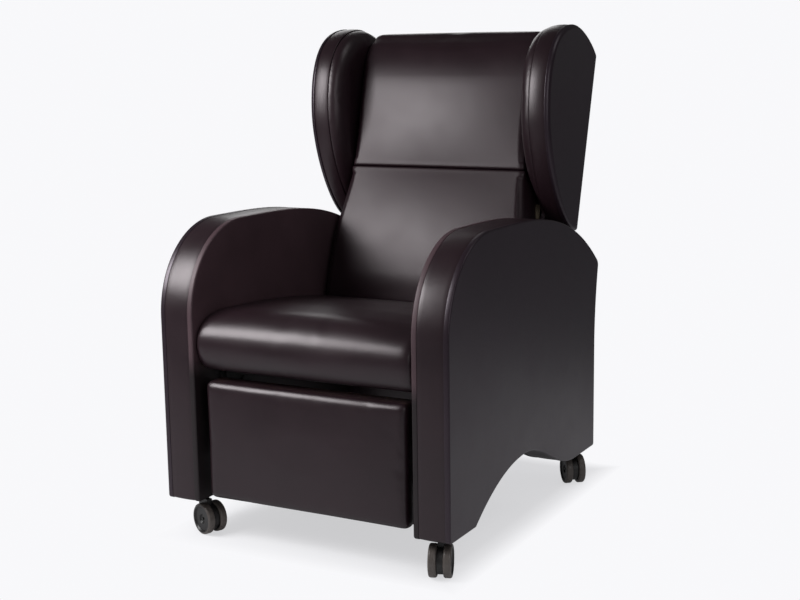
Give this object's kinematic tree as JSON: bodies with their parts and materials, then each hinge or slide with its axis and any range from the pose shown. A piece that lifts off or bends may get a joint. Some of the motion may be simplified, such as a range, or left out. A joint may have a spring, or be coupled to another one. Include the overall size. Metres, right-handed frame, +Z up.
{
  "type": "reflexology chair",
  "caption": "Wing-back recliner with arched padded sides, two-part back, seat with a front roll, lifting footrest panel on a link mechanism and swivelling twin-wheel casters.",
  "frame": {"origin": "on the floor, halfway across the arms and halfway between the front of the arms and the back of the wings", "axes": "+X towards the sitter's left, +Y from the front to the back, +Z up"},
  "size_m": [0.7072, 0.8844, 1.1095],
  "materials": {
    "plywood": "plain birch plywood",
    "side_vinyl": "dark brown-black coated upholstery vinyl, matt",
    "vinyl": "dark brown-black coated upholstery vinyl, satin",
    "wood": "planed beech",
    "spring_steel": "drawn wire",
    "webbing": "woven elastic webbing",
    "dark_steel": "black powder coat",
    "zinc_steel": "zinc plated",
    "caster_black": "black nylon housing on a steel stem",
    "wheel_grey": "dark grey nylon"
  },
  "bodies": {
    "base": {"left_side_frame": "plywood", "right_side_frame": "plywood", "left_outer_panel": "side_vinyl", "right_outer_panel": "side_vinyl", "left_inner_panel": "side_vinyl", "right_inner_panel": "side_vinyl", "left_arm_band": "vinyl", "right_arm_band": "vinyl", "front_seat_rail": "wood", "rear_seat_rail": "wood", "rear_base_rail": "vinyl", "seat_springs": "spring_steel", "seat_cushion": "vinyl", "left_mechanism_plate": "dark_steel", "right_mechanism_plate": "dark_steel", "crank_pivot_pins": "zinc_steel", "back_pivot_bolts": "zinc_steel", "caster_sockets": "zinc_steel"},
    "backrest": {"left_back_post": "wood", "right_back_post": "wood", "top_back_rail": "wood", "lower_back_rail": "wood", "back_webbing": "webbing", "lumbar_pad": "vinyl", "head_pad": "vinyl", "left_wing_panel": "side_vinyl", "right_wing_panel": "side_vinyl", "left_wing_band": "vinyl", "right_wing_band": "vinyl", "left_wing_pad": "vinyl", "right_wing_pad": "vinyl", "rear_cover": "side_vinyl", "left_back_bracket": "dark_steel", "right_back_bracket": "dark_steel"},
    "rear_cranks": {"left_rear_crank": "zinc_steel", "right_rear_crank": "zinc_steel", "torque_tube": "zinc_steel"},
    "front_cranks": {"left_front_crank": "zinc_steel", "right_front_crank": "zinc_steel"},
    "carrier_bars": {"left_carrier_bar": "zinc_steel", "right_carrier_bar": "zinc_steel", "carrier_pins": "zinc_steel"},
    "stay_bars": {"left_stay_bar": "zinc_steel", "right_stay_bar": "zinc_steel"},
    "footrest": {"footrest_board": "plywood", "footrest_pad": "vinyl", "left_footrest_bracket": "dark_steel", "right_footrest_bracket": "dark_steel"},
    "front_left_caster": {"front_left_caster_body": "caster_black"},
    "front_left_outer_wheel": {"front_left_outer_wheel": "wheel_grey"},
    "front_left_inner_wheel": {"front_left_inner_wheel": "wheel_grey"},
    "front_right_caster": {"front_right_caster_body": "caster_black"},
    "front_right_outer_wheel": {"front_right_outer_wheel": "wheel_grey"},
    "front_right_inner_wheel": {"front_right_inner_wheel": "wheel_grey"},
    "rear_left_caster": {"rear_left_caster_body": "caster_black"},
    "rear_left_outer_wheel": {"rear_left_outer_wheel": "wheel_grey"},
    "rear_left_inner_wheel": {"rear_left_inner_wheel": "wheel_grey"},
    "rear_right_caster": {"rear_right_caster_body": "caster_black"},
    "rear_right_outer_wheel": {"rear_right_outer_wheel": "wheel_grey"},
    "rear_right_inner_wheel": {"rear_right_inner_wheel": "wheel_grey"}
  },
  "joints": [
    {"name": "back_recline", "type": "hinge", "parent": "base", "child": "backrest", "pos_m": [0, 0.143, 0.395], "axis": [-1, 0, 0], "range_deg": [0, 40]},
    {"name": "footrest_lift", "type": "hinge", "parent": "base", "child": "rear_cranks", "pos_m": [0, -0.26392, 0.32392], "axis": [-1, 0, 0], "range_deg": [0, 90]},
    {"name": "front_crank_swing", "type": "hinge", "parent": "base", "child": "front_cranks", "pos_m": [0, -0.32622, 0.35402], "axis": [-1, 0, 0], "range_deg": [0, 90]},
    {"name": "carrier_bar_swing", "type": "hinge", "parent": "rear_cranks", "child": "carrier_bars", "pos_m": [0, -0.172, 0.232], "axis": [-1, 0, 0], "range_deg": [-90, 0]},
    {"name": "stay_bar_swing", "type": "hinge", "parent": "rear_cranks", "child": "stay_bars", "pos_m": [0, -0.1556, 0.1848], "axis": [-1, 0, 0], "range_deg": [-90, 0]},
    {"name": "footrest_turn", "type": "hinge", "parent": "carrier_bars", "child": "footrest", "pos_m": [0, -0.35, 0.318], "axis": [-1, 0, 0], "range_deg": [0, 90]},
    {"name": "front_left_swivel", "type": "hinge", "parent": "base", "child": "front_left_caster", "pos_m": [0.3, -0.38, 0.088], "axis": [0, 0, 1], "continuous": true},
    {"name": "front_left_outer_wheel_spin", "type": "hinge", "parent": "front_left_caster", "child": "front_left_outer_wheel", "pos_m": [0.30821, -0.40255, 0.035], "axis": [-0.9397, -0.342, 0], "continuous": true},
    {"name": "front_left_inner_wheel_spin", "type": "hinge", "parent": "front_left_caster", "child": "front_left_inner_wheel", "pos_m": [0.30821, -0.40255, 0.035], "axis": [-0.9397, -0.342, 0], "continuous": true},
    {"name": "front_right_swivel", "type": "hinge", "parent": "base", "child": "front_right_caster", "pos_m": [-0.3, -0.38, 0.088], "axis": [0, 0, 1], "continuous": true},
    {"name": "front_right_outer_wheel_spin", "type": "hinge", "parent": "front_right_caster", "child": "front_right_outer_wheel", "pos_m": [-0.27775, -0.38899, 0.035], "axis": [-0.3746, -0.9272, 0], "continuous": true},
    {"name": "front_right_inner_wheel_spin", "type": "hinge", "parent": "front_right_caster", "child": "front_right_inner_wheel", "pos_m": [-0.27775, -0.38899, 0.035], "axis": [-0.3746, -0.9272, 0], "continuous": true},
    {"name": "rear_left_swivel", "type": "hinge", "parent": "base", "child": "rear_left_caster", "pos_m": [0.3, 0.321, 0.088], "axis": [0, 0, 1], "continuous": true},
    {"name": "rear_left_outer_wheel_spin", "type": "hinge", "parent": "rear_left_caster", "child": "rear_left_outer_wheel", "pos_m": [0.31478, 0.30209, 0.035], "axis": [-0.788, -0.6157, 0], "continuous": true},
    {"name": "rear_left_inner_wheel_spin", "type": "hinge", "parent": "rear_left_caster", "child": "rear_left_inner_wheel", "pos_m": [0.31478, 0.30209, 0.035], "axis": [-0.788, -0.6157, 0], "continuous": true},
    {"name": "rear_right_swivel", "type": "hinge", "parent": "base", "child": "rear_right_caster", "pos_m": [-0.3, 0.321, 0.088], "axis": [0, 0, 1], "continuous": true},
    {"name": "rear_right_outer_wheel_spin", "type": "hinge", "parent": "rear_right_caster", "child": "rear_right_outer_wheel", "pos_m": [-0.31478, 0.30209, 0.035], "axis": [-0.788, 0.6157, 0], "continuous": true},
    {"name": "rear_right_inner_wheel_spin", "type": "hinge", "parent": "rear_right_caster", "child": "rear_right_inner_wheel", "pos_m": [-0.31478, 0.30209, 0.035], "axis": [-0.788, 0.6157, 0], "continuous": true}
  ],
  "couplings": [
    {"joint": "front_crank_swing", "follows": "footrest_lift", "ratio": 1},
    {"joint": "carrier_bar_swing", "follows": "footrest_lift", "ratio": -1},
    {"joint": "stay_bar_swing", "follows": "footrest_lift", "ratio": -1},
    {"joint": "footrest_turn", "follows": "footrest_lift", "ratio": 1}
  ]
}
